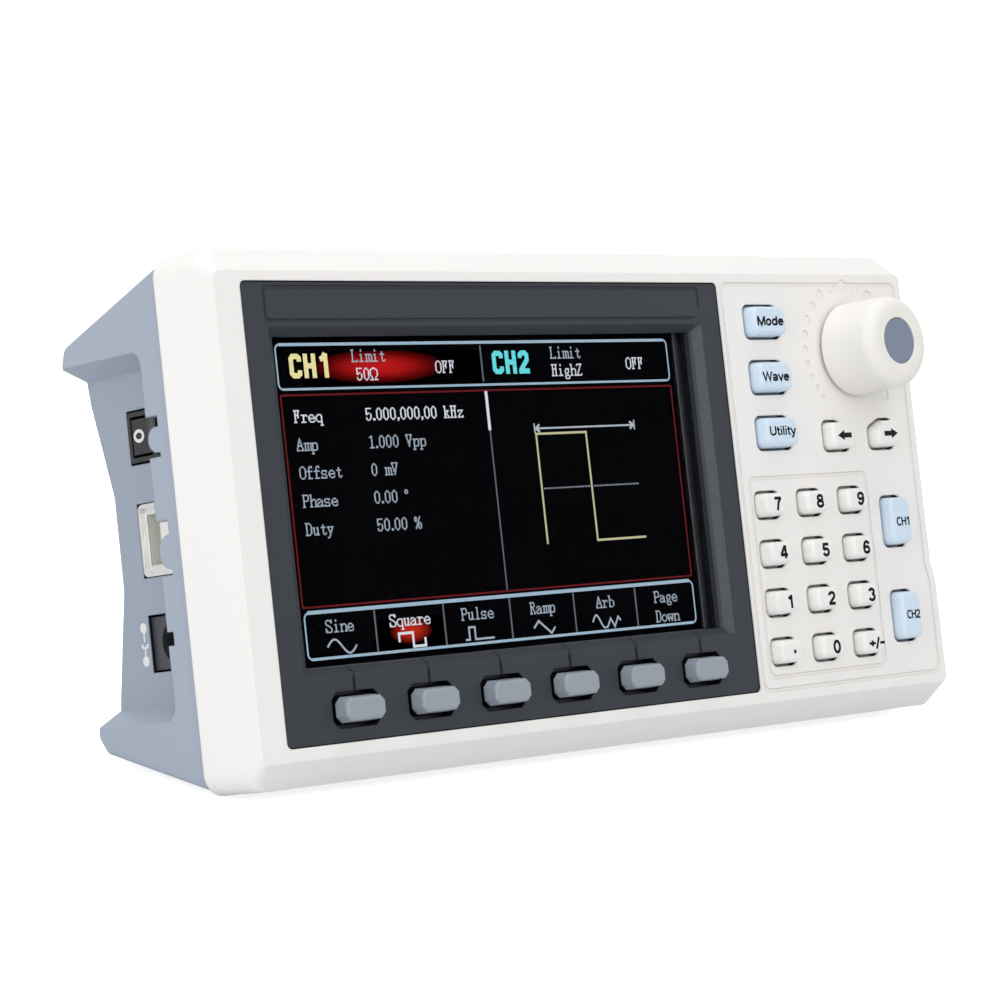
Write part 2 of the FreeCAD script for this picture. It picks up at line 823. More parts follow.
def engraved_lines():
    """The outline round the key field, the one round the number pad, and the knob's dots."""
    depth = "line_depth"
    left = "panel_right + field_inset"
    low_side = "field_right"
    high_side = "field_right - side_step"

    def field(grow):
        return [
            ("%s - %s" % (left, grow), "field_low - %s" % grow, "field_corner"),
            ("%s + %s" % (low_side, grow), "field_low - %s" % grow, "field_corner"),
            ("%s + %s" % (low_side, grow), "side_step_low - %s" % grow, "0"),
            ("%s + %s" % (high_side, grow), "side_step_high - %s" % grow, "0"),
            ("%s + %s" % (high_side, grow), "field_high + %s" % grow, "field_corner"),
            ("%s - %s" % (left, grow), "field_high + %s" % grow, "field_corner"),
        ]

    def pad_frame(grow):
        return rectangle(
            "pad_frame_left - %s" % grow, "pad_frame_right + %s" % grow,
            "digit_low - pad_frame_below - %s" % grow, "digit_low + 3 * digit_step + pad_frame_above + %s" % grow,
            "pad_frame_corner",
        )

    lines = [
        ring("FieldLine", "-0.5", depth, field("line_width / 2"), field("-line_width / 2")),
        ring("PadLine", "-0.5", depth, pad_frame("line_width / 2"), pad_frame("-line_width / 2")),
    ]
    dots = []
    for index in range(DOT_COUNT):
        share = "%.4f" % (index / (DOT_COUNT - 1))
        angle = "((%s) * 1 deg)" % dot_angle(index)
        radius = "dial_first_dot + (dial_last_dot - dial_first_dot) * %s * %s" % (share, share)
        dots.append(rod(
            "DialDot%d" % index, "y",
            "knob_place + dial_radius * cos(%s)" % angle, "-0.5",
            "knob_level + dial_radius * sin(%s)" % angle,
            "0.5 + dial_dot_depth", radius,
        ))
    return lines + dots


DOT_COUNT = 18


def dot_angle(index):
    """The dots close up as they shrink, so their pitch falls along the sweep."""
    share = "%.4f" % (index / (DOT_COUNT - 1))
    return "dial_start + dial_sweep * %s * (1 + dial_crowding - dial_crowding * %s)" % (share, share)


def make_bezel():
    solid = make_bezel_solid()
    side = KEY_BAY_RIGHT
    cavity = block("BezelCavity", "-(%s)" % side, side, LEDGE_BACK, "bezel_depth + 1",
                   "bezel_wall", "bezel_height - bezel_wall")
    key_bay = block("KeyBay", KEY_BAY_LEFT, KEY_BAY_RIGHT, "key_plate", "bezel_depth", KEY_BAY_LOW, KEY_BAY_HIGH)
    shell = cut("BezelShell", solid, [cavity, key_bay])
    bosses = [
        rod("BoardBoss%d" % index, "y", x, start, z, "front_board_place - (%s)" % start, "boss_radius")
        for index, (x, z, start) in enumerate(BEZEL_BOSSES)
    ]
    posts = post_rods("CasePost", "post_front", "bezel_depth", "post_radius")
    frame = joined("BezelFrame", [shell] + bosses + posts + post_ribs())
    recess = plate("PanelRecess", "-1", PANEL_BACK, [rectangle(
        "panel_left - panel_fit", "panel_right + panel_fit", "panel_low - panel_fit", "panel_high + panel_fit",
        "panel_corner",
    )])
    opening = block(
        "PanelOpening", "panel_left + panel_ledge", "panel_right - panel_ledge", "0", LEDGE_BACK + " + 0.01",
        "panel_low + panel_ledge", "panel_high - panel_ledge",
    )
    holes = []
    for name, (x, z, width, height, kind) in KEYS.items():
        outline = key_outline(width, height, kind, "key_gap")
        hole = plate("Hole" + name, "-1", "key_plate + 1", [outline])
        holes.append(placed("Place" + name, hole, x, "0", z))
    bushing = rod("BushingHole", "y", "knob_place", "-1", "knob_level", "key_plate + 2", "bushing_radius + bushing_fit")
    pilots = post_rods("CasePilot", "post_front + pilot_start", "bezel_depth + 1", "screw_radius")
    board_pilots = [
        rod("BoardPilot%d" % index, "y", x, "front_board_place - 3", z, "4", "boss_hole")
        for index, (x, z, start) in enumerate(BEZEL_BOSSES)
    ]
    tools = [recess, opening, bushing] + holes + engraved_lines() + pilots + board_pilots
    return cut("FrontBezel", frame, tools)


node("front_bezel", make_bezel())

# ---------------------------------------------------------------- display panel and screen


def make_panel():
    """The dark plate: bevelled window, engraved header frame, leader lines, soft key holes."""
    solid = plate("PanelPlate", "panel_sunk", PANEL_BACK, [
        rectangle("panel_left", "panel_right", "panel_low", "panel_high", "panel_corner"),
    ])
    slope = doc.addObject("Part::Wedge", "WindowSlope")
    for prop, text in (
        ("Ymin", "panel_sunk"), ("Ymax", "panel_sunk + window_slope_depth"),
        ("Xmin", WINDOW_LEFT + " - window_slope_side"), ("Xmax", WINDOW_RIGHT + " + window_slope_side"),
        ("Zmin", WINDOW_LOW + " - window_slope_low"), ("Zmax", WINDOW_HIGH + " + window_slope_low"),
        ("X2min", WINDOW_LEFT), ("X2max", WINDOW_RIGHT),
        ("Z2min", WINDOW_LOW), ("Z2max", WINDOW_HIGH),
    ):
        bind(slope, prop, text)
    window = block("WindowHole", WINDOW_LEFT, WINDOW_RIGHT, "0", PANEL_BACK + " + 1", WINDOW_LOW, WINDOW_HIGH)

    def header(grow):
        return rectangle(
            "header_left - %s" % grow, "header_right + %s" % grow,
            "header_low - %s" % grow, "header_high + %s" % grow, "header_corner",
        )

    engraved = [ring("HeaderLine", "-0.5", "panel_sunk + line_depth",
                     header("line_width / 2"), header("-line_width / 2"))]
    holes = []
    slope_foot = WINDOW_LOW + " - window_slope_low"
    for name, x in SOFT_KEYS.items():
        hole = plate("Hole" + name, "-1", PANEL_BACK + " + 1", [soft_outline("soft_gap")])
        holes.append(placed("Place" + name, hole, x, "0", "soft_level"))
        left = "%s - leader_width / 2" % x
        right = "%s + leader_width / 2" % x
        engraved.append(block("Leader" + name, left, right, "0", "panel_sunk + leader_depth",
                              "soft_level + soft_height / 2", slope_foot))
        groove = doc.addObject("Part::Wedge", "LeaderSlope" + name)
        for prop, text in (
            ("Ymin", "panel_sunk"), ("Ymax", "panel_sunk + window_slope_depth"),
            ("Xmin", left), ("Xmax", right), ("X2min", left), ("X2max", right),
            ("Zmin", slope_foot + " - leader_depth"), ("Zmax", slope_foot + " + leader_depth"),
            ("Z2min", WINDOW_LOW + " - leader_depth"), ("Z2max", WINDOW_LOW + " + leader_depth"),
        ):
            bind(groove, prop, text)
        engraved.append(groove)
    return cut("DisplayPanel", solid, [slope, window] + engraved + holes)


node("display_panel", make_panel())

lens_plate = plate("LensPlate", PANEL_BACK, PANEL_BACK + " + lens_thick", [rectangle(
    WINDOW_LEFT + " - lens_border", WINDOW_RIGHT + " + lens_border",
    WINDOW_LOW + " - lens_border", WINDOW_HIGH + " + lens_border", "1",
)])
node("screen_lens", lens_plate)

FRAME_FRONT = PANEL_BACK + " + lens_thick + screen_gap"
GLASS_FRONT = FRAME_FRONT + " + frame_lip"
glass = plate("ScreenGlass", GLASS_FRONT, GLASS_FRONT + " + glass_thick", [rectangle(
    "active_left - glass_border", ACTIVE_RIGHT + " + glass_border",
    "active_low - glass_border", ACTIVE_HIGH + " + glass_border", "0.5",
)])
node("screen_glass", glass)


def make_screen_frame():
    """The folded metal tray that holds the glass, open at its front."""
    tray = plate("ScreenTray", FRAME_FRONT, FRAME_FRONT + " + frame_depth", [rectangle(
        "active_left - frame_border", ACTIVE_RIGHT + " + frame_border",
        "active_low - frame_border", ACTIVE_HIGH + " + frame_border", "1",
    )])
    opening = block("TrayWindow", "active_left - frame_window", ACTIVE_RIGHT + " + frame_window",
                    "0", GLASS_FRONT + " + 0.01",
                    "active_low - frame_window", ACTIVE_HIGH + " + frame_window")
    fit = "glass_border + screen_gap"
    seat = block("TraySeat", "active_left - (%s)" % fit, "%s + %s" % (ACTIVE_RIGHT, fit),
                 GLASS_FRONT, GLASS_FRONT + " + glass_thick",
                 "active_low - (%s)" % fit, "%s + %s" % (ACTIVE_HIGH, fit))
    return cut("ScreenFrame", tray, [opening, seat])


node("screen_frame", make_screen_frame())

# ---------------------------------------------------------------- knob and its encoder
# Turned pieces are drawn about their own Z axis and stood with that axis towards the user.

TO_FRONT = Rotation(Vector(1, 0, 0), 90)
AT_KNOB = {"x": "knob_place", "z": "knob_level", "turn": TO_FRONT}


def make_knob():
    """A slightly tapered cap with a rounded end, hollow over the nut, bored for the shaft."""
    end = "knob_gap + knob_length"
    body = turned("KnobTurned", [
        ("shaft_radius + disc_fit", "knob_gap + knob_skirt_depth", "0"),
        ("knob_skirt_radius", "knob_gap + knob_skirt_depth", "0"),
        ("knob_skirt_radius", "knob_gap", "0"),
        ("knob_radius", "knob_gap", "knob_base_edge"),
        ("knob_end_radius", end, "knob_edge"),
        ("disc_radius + disc_fit", end, "knob_disc_edge"),
        ("disc_radius + disc_fit", end + " - disc_sunk - disc_thick", "0"),
        ("0", end + " - disc_sunk - disc_thick", "0"),
        ("0", "knob_gap + knob_bore_depth", "0"),
        ("shaft_radius + disc_fit", "knob_gap + knob_bore_depth", "0"),
    ])
    return body


node("knob", make_knob(), **AT_KNOB)

disc = turned("KnobDisc", [
    ("0", "knob_gap + knob_length - disc_sunk - disc_thick", "0"),
    ("disc_radius", "knob_gap + knob_length - disc_sunk - disc_thick", "0"),
    ("disc_radius", "knob_gap + knob_length - disc_sunk", "disc_edge"),
    ("0", "knob_gap + knob_length - disc_sunk", "0"),
])
node("knob_disc", disc, **AT_KNOB)

COLLAR_FRONT = "key_plate + encoder_roof + collar_fit"
COLLAR_BACK = COLLAR_FRONT + " + collar_thick"
PLUNGER_FRONT = COLLAR_BACK + " + shaft_fit"
shaft = turned("EncoderShaft", [
    ("0", "-(%s)" % COLLAR_BACK, "0"),
    ("collar_radius", "-(%s)" % COLLAR_BACK, "0"),
    ("collar_radius", "-(%s)" % COLLAR_FRONT, "0"),
    ("shaft_radius", "-(%s)" % COLLAR_FRONT, "0"),
    ("shaft_radius", "knob_gap + knob_bore_depth", "shaft_end_edge"),
    ("0", "knob_gap + knob_bore_depth", "0"),
])
node("encoder_shaft", shaft, **AT_KNOB)

plunger = turned("EncoderPlunger", [
    ("0", "-(%s) - 2 * plunger_step" % PLUNGER_FRONT, "0"),
    ("plunger_radius", "-(%s) - 2 * plunger_step" % PLUNGER_FRONT, "0"),
    ("plunger_radius", "-(%s) - plunger_step" % PLUNGER_FRONT, "0"),
    ("collar_radius", "-(%s) - plunger_step" % PLUNGER_FRONT, "0"),
    ("collar_radius", "-(%s)" % PLUNGER_FRONT, "0"),
    ("0", "-(%s)" % PLUNGER_FRONT, "0"),
])
node("encoder_plunger", plunger, **AT_KNOB)


def make_encoder_body():
    """A square can behind the plate with a threaded bushing through it."""
    can = block("EncoderCan", "-encoder_side / 2", "encoder_side / 2", "key_plate", "key_plate + encoder_depth",
                "-encoder_side / 2", "encoder_side / 2")
    bushing = rod("EncoderBushing", "y", "0", "-bushing_length", "0", "bushing_length + key_plate + 0.5",
                  "bushing_radius")
    bore = rod("EncoderBore", "y", "0", "-bushing_length - 1", "0", "bushing_length + key_plate + 3",
               "shaft_radius + shaft_fit")
    chamber = rod("EncoderChamber", "y", "0", "key_plate + encoder_roof", "0",
                  "encoder_depth - encoder_roof - encoder_floor", "collar_radius + collar_fit")
    return cut("EncoderBody", joined("EncoderOutside", [can, bushing]), [bore, chamber])


node("encoder_body", make_encoder_body(), x="knob_place", z="knob_level")

nut_prism = hexagon("NutPrism", "y", "nut_thick", "nut_flats")
nut_bore = rod("NutBore", "y", "0", "-1", "0", "nut_thick + 2", "bushing_radius + shaft_fit")
encoder_nut = cut("EncoderNut", nut_prism, [nut_bore])
node("encoder_nut", encoder_nut, x="knob_place", y="-nut_thick", z="knob_level")

# ---------------------------------------------------------------- key mat and front board

BOARD_RIGHT = KEY_BAY_RIGHT + " - board_margin"
BOARD_HIGH = KEY_BAY_HIGH + " - board_margin"
STRIP_END = KEY_BAY_LEFT + " + board_margin"


def board_outline(inset):
    """An L: a strip under the screen and the field behind the keys."""
    return [
        ("board_left + %s" % inset, "strip_low + %s" % inset, "board_corner"),
        ("%s - %s" % (BOARD_RIGHT, inset), "strip_low + %s" % inset, "board_corner"),
        ("%s - %s" % (BOARD_RIGHT, inset), "%s - %s" % (BOARD_HIGH, inset), "board_corner"),
        ("%s + %s" % (STRIP_END, inset), "%s - %s" % (BOARD_HIGH, inset), "board_corner"),
        ("%s + %s" % (STRIP_END, inset), "strip_high - %s" % inset, "0"),
        ("board_left + %s" % inset, "strip_high - %s" % inset, "board_corner"),
    ]


def encoder_opening(name):
    room = "encoder_side / 2 + encoder_room"
    return block(name, "knob_place - (%s)" % room, "knob_place + %s" % room, MAT_FRONT + " - 2", BOARD_BACK + " + 2",
                 "knob_level - (%s)" % room, "knob_level + %s" % room)


def make_key_mat():
    """A silicone sheet on the board with one dome behind every key."""
    sheet_part = plate("MatSheet", MAT_FRONT, "front_board_place", [board_outline("mat_inset")])
    domes = []
    plate_keys = [(x, z, "key_plate + flange_thick") for x, z, _, _, _ in KEYS.values()]
    panel_keys = [(x, "soft_level", PANEL_BACK + " + soft_flange_thick") for x in SOFT_KEYS.values()]
    for index, (x, z, flange_back) in enumerate(plate_keys + panel_keys):
        top = flange_back + " + key_travel + dome_play"
        domes.append(rod("Dome%d" % index, "y", x, top, z, "%s + dome_root - (%s)" % (MAT_FRONT, top), "dome_radius"))
    clear = [
        rod("MatHole%d" % index, "y", x, MAT_FRONT + " - 1", z, "mat_thick + 2", "boss_radius + boss_room")
        for index, (x, z, start) in enumerate(BEZEL_BOSSES)
    ]
    return cut("KeyMat", joined("MatAndDomes", [sheet_part] + domes), clear + [encoder_opening("MatEncoder")])


node("key_mat", make_key_mat())

front_plate = plate("FrontBoardPlate", "front_board_place", BOARD_BACK, [board_outline("0")])
front_holes = [
    rod("FrontBoardHole%d" % index, "y", x, "front_board_place - 1", z, "board_thick + 2", "boss_hole + board_hole_room")
    for index, (x, z, start) in enumerate(BEZEL_BOSSES)
]
node("front_board", cut("FrontBoard", front_plate, front_holes + [encoder_opening("BoardEncoder")]))

front_screws = []
for index, (x, z, start) in enumerate(BEZEL_BOSSES):
    head = rod("FrontHead%d" % index, "y", x, BOARD_BACK, z, "front_head_thick", "boss_radius")
    shank = rod("FrontShank%d" % index, "y", x, "front_board_place - front_shank_reach", z,
                "board_thick + front_shank_reach + front_head_thick / 2", "boss_hole - front_shank_fit")
    front_screws.append(joined("FrontScrew%d" % index, [head, shank]))
node("front_board_screws", group("FrontScrews", front_screws))

# ---------------------------------------------------------------- rear casing

RISE = "tan(lean_angle)"


def casing_profile(inset, corner):
    """The side view in Y and Z: sloped top and bottom, two ears and a hollow back."""
    foot_level = "casing_low + (casing_foot_depth - bezel_depth) * %s" % RISE
    top_level = "casing_high - (casing_top_depth - bezel_depth) * casing_top_slope"
    return [
        ("bezel_depth", "casing_low + %s" % inset, "0"),
        ("casing_foot_depth - %s * casing_corner_share" % inset, "%s + %s" % (foot_level, inset), corner),
        ("ear_depth - %s" % inset, "ear_low + %s * casing_corner_share" % inset, corner),
        ("back_depth - %s" % inset, "back_low", "0"),
        ("hollow_depth - %s" % inset, "hollow_low", "0"),
        ("hollow_depth - %s" % inset, "hollow_high", "0"),
        ("back_depth - %s" % inset, "back_high", "0"),
        ("ear_depth - %s" % inset, "ear_high - %s * casing_corner_share" % inset, corner),
        ("casing_top_depth - %s * casing_corner_share" % inset, "%s - %s" % (top_level, inset), corner),
        ("bezel_depth", "casing_high - %s" % inset, "0"),
    ]


def casing_solid(name, inset, corner, width):
    """The side view padded to both sides of the middle."""
    body = doc.addObject("PartDesign::Body", name)
    sketch = sketched(body, name + "Profile", "YZ_Plane", "0", [casing_profile(inset, corner)])
    pad = body.newObject("PartDesign::Pad", name + "Pad")
    pad.Profile = sketch
    pad.SideType = "Symmetric"
    bind(pad, "Length", width)
    return body


def channel_tool(name, side):
    """The port channel of one side: a wedge that narrows from the rim to the floor."""
    wedge = doc.addObject("Part::Wedge", name)
    wedge.Placement = Placement(Vector(), Rotation(Z_AXIS, -90 * side))
    rear = "back_depth + 5"
    depth = ("-(%s)" % rear, "-channel_front") if side > 0 else ("channel_front", rear)
    for prop, text in (
        ("Ymin", "channel_floor"), ("Ymax", "casing_width / 2"),
        ("Xmin", depth[0]), ("Xmax", depth[1]), ("X2min", depth[0]), ("X2max", depth[1]),
        ("Zmin", "channel_floor_low"), ("Zmax", "channel_floor_high"),
        ("Z2min", "channel_rim_low"), ("Z2max", "channel_rim_high"),
    ):
        bind(wedge, prop, text)
    front = number("channel_front")
    side_plane = number("casing_width / 2")

    def slanted_front_edge(edge):
        return edge_at(edge, wedge.Placement.Rotation.multVec(X_AXIS), -front * side) and not (
            edge_at(edge, X_AXIS, side_plane * side) or edge_at(edge, X_AXIS, number("channel_floor") * side))

    return eased(name + "Rounded", wedge, "channel_corner", slanted_front_edge)


def rim_notch(name, low, high, tab_level, tab_radius):
    """A notch through the front rim of the left channel, with a round tab that stands in it."""
    left = "-casing_width / 2 - 1"
    length = "casing_width / 2 + 1 - channel_floor"
    space = block(name + "Space", left, "-channel_floor", "notch_front", "channel_front + notch_overlap", low, high)
    nose = "tab_back - " + tab_radius
    tab = joined(name + "Tab", [
        rod(name + "Nose", "x", left, nose, tab_level, length, tab_radius),
        block(name + "Root", left, "-channel_floor", "notch_front - 1", nose,
              "%s - %s" % (tab_level, tab_radius), "%s + %s" % (tab_level, tab_radius)),
    ])
    return cut(name, space, [tab])


def rim_notches():
    return [
        rim_notch("SwitchNotch", "switch_notch_low", "switch_notch_high", "switch_tab_level", "switch_tab_radius"),
        rim_notch("DataNotch", "data_notch_low", "data_notch_high", "data_tab_level", "data_tab_radius"),
        block("InletNotch", "-casing_width / 2 - 1", "-channel_floor", "inlet_notch_front",
              "channel_front + notch_overlap", "inlet_notch_low", "inlet_notch_high"),
    ]


INNER_FLOOR = "channel_floor - casing_wall"
OUTPUTS = ["output_low + %d * output_pitch" % index for index in range(int(SIZES["output_count"]))]
BACK_INSIDE = "back_depth - casing_wall"


def socket_holes():
    """The holes in the two channel floors."""
    out = "-channel_floor - 2"
    inside = "-(%s) + 1" % INNER_FLOOR
    fit = "port_fit"
    left = [
        block("SwitchHole", out, inside, "switch_front - port_fit", "switch_back + port_fit",
              "switch_low - " + fit, "switch_high + " + fit),
        block("InletHole", out, inside, "inlet_front - port_fit", "main_board_place",
              "inlet_low - " + fit, "inlet_high + " + fit),
        block("DataHole", out, inside, "data_front - port_fit", "main_board_place",
              "data_low - " + fit, "data_high + " + fit),
    ]
    right = [
        rod("OutputHole%d" % index, "x", INNER_FLOOR + " - 1", "output_depth", level, "casing_wall + 2",
            "output_radius + output_fit")
        for index, level in enumerate(OUTPUTS)
    ]
    return left + right


def vents():
    slots = []
    middle = "(hollow_low + hollow_high) / 2"
    for index in range(int(SIZES["vent_count"])):
        centre = "(%d - (vent_count - 1) / 2) * vent_pitch" % index
        slots.append(block(
            "Vent%d" % index, centre + " - vent_width / 2", centre + " + vent_width / 2",
            "main_board_place + board_thick + 1", "back_depth + 5",
            middle + " - vent_length / 2", middle + " + vent_length / 2",
        ))
    return slots


MAIN_POSTS = [(side, level) for side in (-1, 1) for level in ("main_post_low", "main_post_high")]
MAIN_BACK = "main_board_place + board_thick"


def make_casing():
    """Outside, less the inside, less the channels, with screw tubes and board posts."""
    outside = casing_solid("CasingOutside", "0", "ear_round", "casing_width")
    side_level = number("casing_width / 2")
    front = number("bezel_depth")

    def side_edge(edge):
        on_side = edge_at(edge, X_AXIS, side_level) or edge_at(edge, X_AXIS, -side_level)
        return on_side and not edge_at(edge, Y_AXIS, front)

    eased_outside = eased("CasingEased", outside, "casing_edge", side_edge)
    channels = [channel_tool("ChannelLeft", -1), channel_tool("ChannelRight", 1)]
    inside = casing_solid("CasingInside", "casing_wall", "0", "2 * (%s)" % INNER_FLOOR)
    shoulder_back = "notch_front - casing_wall"
    ahead = block("CasingMouth", "-(casing_width / 2 - casing_wall)", "casing_width / 2 - casing_wall",
                  "bezel_depth - 1", shoulder_back,
                  "casing_low + casing_wall + (notch_front - bezel_depth) * %s" % RISE,
                  "casing_high - casing_wall - (notch_front - bezel_depth) * casing_top_slope")
    shell = cut("CasingShell", eased_outside, channels + [inside, ahead])
    tubes = post_rods("CaseTube", "bezel_depth", BACK_INSIDE + " + 1", "tube_radius")
    posts = [
        rod("MainPost%d" % index, "y", "%d * main_post_side" % side, MAIN_BACK, level,
            BACK_INSIDE + " + 1 - (%s)" % MAIN_BACK, "main_post_radius")
        for index, (side, level) in enumerate(MAIN_POSTS)
    ]
    solid = joined("CasingFrame", [shell] + tubes + posts)
    wells = post_rods("CaseWell", "screw_head_place", "back_depth + 5", "well_radius")
    ways = post_rods("CaseWay", "bezel_depth - 1", "back_depth", "screw_radius + screw_room")
    pilots = [
        rod("MainPilot%d" % index, "y", "%d * main_post_side" % side, MAIN_BACK + " - 1", level, "main_pilot_reach + 1",
            "main_screw_radius")
        for index, (side, level) in enumerate(MAIN_POSTS)
    ]
    return cut("RearCasing", solid, wells + ways + pilots + socket_holes() + rim_notches() + vents())


node("rear_casing", make_casing())

case_screws = []
for index, (side, level) in enumerate(CORNERS):
    x = "%d * post_side" % side
    head = rod("CaseHead%d" % index, "y", x, "screw_head_place", level, "screw_head_thick", "screw_head_radius")
    shank = rod("CaseShank%d" % index, "y", x, "screw_tip", level, "screw_head_place - screw_tip + screw_neck",
                "screw_radius")
    case_screws.append(joined("CaseScrew%d" % index, [head, shank]))
node("case_screws", group("CaseScrews", case_screws))

# ---------------------------------------------------------------- main board


def make_main_board():
    """The board behind the sockets, notched at its corners round the screw tubes."""
    side = "main_board_side"
    notch_side = "post_side - tube_radius - main_notch_room"
    low_notch = "post_low + tube_radius + main_notch_room"
    high_notch = "post_high - tube_radius - main_notch_room"
    outline = [
        ("-(%s)" % notch_side, "main_board_low", "0"),
        (notch_side, "main_board_low", "0"),
        (notch_side, low_notch, "0"),
        (side, low_notch, "0"),
        (side, high_notch, "0"),
        (notch_side, high_notch, "0"),
        (notch_side, "main_board_high", "0"),
        ("-(%s)" % notch_side, "main_board_high", "0"),
        ("-(%s)" % notch_side, high_notch, "0"),
        ("-" + side, high_notch, "0"),
        ("-" + side, low_notch, "0"),
        ("-(%s)" % notch_side, low_notch, "0"),
    ]
    board = plate("MainBoardPlate", "main_board_place", MAIN_BACK, [outline])
    holes = [
        rod("MainHole%d" % index, "y", "%d * main_post_side" % side, "main_board_place - 1", level,
            "board_thick + 2", "main_screw_radius + main_hole_room")
        for index, (side, level) in enumerate(MAIN_POSTS)
    ]
    return cut("MainBoard", board, holes)


node("main_board", make_main_board())

main_screws = []
for index, (side, level) in enumerate(MAIN_POSTS):
    x = "%d * main_post_side" % side
    head = rod("MainHead%d" % index, "y", x, "main_board_place - main_head_thick", level, "main_head_thick",
               "main_head_radius")
    shank = rod("MainShank%d" % index, "y", x, "main_board_place - screw_neck", level, "board_thick + screw_neck + main_shank_reach",
                "main_screw_radius")
    main_screws.append(joined("MainScrew%d" % index, [head, shank]))
node("main_board_screws", group("MainScrews", main_screws))

can_outside = block("CanOutside", "can_left", "can_right", "main_board_place - can_tall", "main_board_place",
                    "can_low", "can_high")
can_inside = block("CanInside", "can_left + can_wall", "can_right - can_wall",
                   "main_board_place - can_tall + can_wall", "main_board_place + 1",
                   "can_low + can_wall", "can_high - can_wall")
node("shield_can", cut("ShieldCan", can_outside, [can_inside]))

# ---------------------------------------------------------------- ribbons
# Each ribbon leaves one plug, swings to a new level in two quarter turns and enters the next.


def ribbon(name, start, finish, width, shift, thick):
    """A flat strip from depth start to depth finish that drops by shift in a smooth S."""
    depth = number(finish) - number(start)
    drop = number(shift)
    half = number(thick) / 2
    bend = number(thick) * number("ribbon_bend")
    middle = depth / 2
    wide = number(width)
    path = [
        Vector(-wide / 2, number(start), 0),
        Vector(-wide / 2, number(start) + middle, 0),
        Vector(-wide / 2, number(start) + middle, -drop),
        Vector(-wide / 2, number(finish), -drop),
    ]

    def side(offset):
        """The path moved sideways by offset, with its two corners rounded."""
        inner = bend - offset
        outer = bend + offset
        low = path[1] + Vector(0, -bend, offset)
        turn_one = path[1] + Vector(0, -bend, -bend)
        turn_two = path[2] + Vector(0, bend, bend)
        first_mid = turn_one + Vector(0, math.sin(math.pi / 4), math.cos(math.pi / 4)) * outer
        first_end = turn_one + Vector(0, outer, 0)
        second_start = turn_two + Vector(0, -inner, 0)
        second_mid = turn_two + Vector(0, -math.sin(math.pi / 4), -math.cos(math.pi / 4)) * inner
        second_end = turn_two + Vector(0, 0, -inner)
        return [
            Part.LineSegment(path[0] + Vector(0, 0, offset), low),
            Part.Arc(low, first_mid, first_end),
            Part.LineSegment(first_end, second_start),
            Part.Arc(second_start, second_mid, second_end),
            Part.LineSegment(second_end, path[3] + Vector(0, 0, offset)),
        ]

    upper = side(half)
    lower = side(-half)
    ends = [
        Part.LineSegment(upper[0].StartPoint, lower[0].StartPoint),
        Part.LineSegment(upper[-1].EndPoint, lower[-1].EndPoint),
    ]
    edges = [piece.toShape() for piece in upper + lower + ends]
    outline = Part.Wire(Part.__sortEdges__(edges))
    strip = Part.Face(outline).extrude(Vector(wide, 0, 0))
    feature = doc.addObject("Part::Feature", name)
    feature.Shape = strip
    return feature


FRONT_PLUG_BACK = BOARD_BACK + " + plug_tall"
MAIN_PLUG_FRONT = "main_board_place - plug_tall"
RIBBON_DROP = "ribbon_shift"
board_ribbon = ribbon("BoardRibbonStrip", FRONT_PLUG_BACK, MAIN_PLUG_FRONT, "ribbon_width", RIBBON_DROP,
                      "ribbon_thick")
node("board_ribbon", board_ribbon, x="ribbon_place", z="ribbon_level + ribbon_shift")

SCREEN_BACK = FRAME_FRONT + " + frame_depth"
screen_ribbon = ribbon("ScreenRibbonStrip", SCREEN_BACK, MAIN_PLUG_FRONT, "ribbon_width", RIBBON_DROP,
                       "ribbon_thick / 2")
node("screen_ribbon", screen_ribbon, x="screen_ribbon_place", z="ribbon_level + ribbon_shift")


def plug(name, x, y_from, y_to, z):
    return block(name, "%s - ribbon_width / 2 - plug_side" % x, "%s + ribbon_width / 2 + plug_side" % x, y_from, y_to,
                 "%s - plug_height / 2" % z, "%s + plug_height / 2" % z)


node("ribbon_plugs", group("RibbonPlugs", [
    plug("FrontPlug", "ribbon_place", BOARD_BACK, FRONT_PLUG_BACK, "(ribbon_level + ribbon_shift)"),
    plug("MainPlug", "ribbon_place", MAIN_PLUG_FRONT, "main_board_place", "ribbon_level"),
    plug("ScreenPlug", "screen_ribbon_place", MAIN_PLUG_FRONT, "main_board_place", "ribbon_level"),
]))

# ---------------------------------------------------------------- power switch
# The rocker turns about a pin that runs up and down in the channel floor.

SWITCH_MIDDLE_Y = "(switch_front + switch_back) / 2"
SWITCH_MIDDLE_Z = "(switch_low + switch_high) / 2"
ROCKER_HALF = "(switch_back - switch_front) / 2 - switch_wall - rocker_play"
ROCKER_TALL = "(switch_high - switch_low) / 2 - switch_wall - rocker_play"
PIVOT_SINK = "rocker_valley - switch_rim"


def make_switch_body():
    """A frame with an open front for the rocker and a hole for each end of its pin."""
    outside = block("SwitchOutside", "-channel_floor - switch_rim", "-channel_floor + switch_depth",
                    "switch_front", "switch_back", "switch_low", "switch_high")
    cavity = block("SwitchCavity", "-channel_floor - switch_rim - 1", "-channel_floor + rocker_cavity",
                   "switch_front + switch_wall", "switch_back - switch_wall",
                   "switch_low + switch_wall", "switch_high - switch_wall")
    pin = rod("SwitchPinHole", "z", "-channel_floor + %s" % PIVOT_SINK, SWITCH_MIDDLE_Y, "switch_low - 1",
              "switch_high - switch_low + 2", "rocker_pin + rocker_pin_fit")
    return cut("SwitchBody", outside, [cavity, pin])


node("switch_body", make_switch_body())


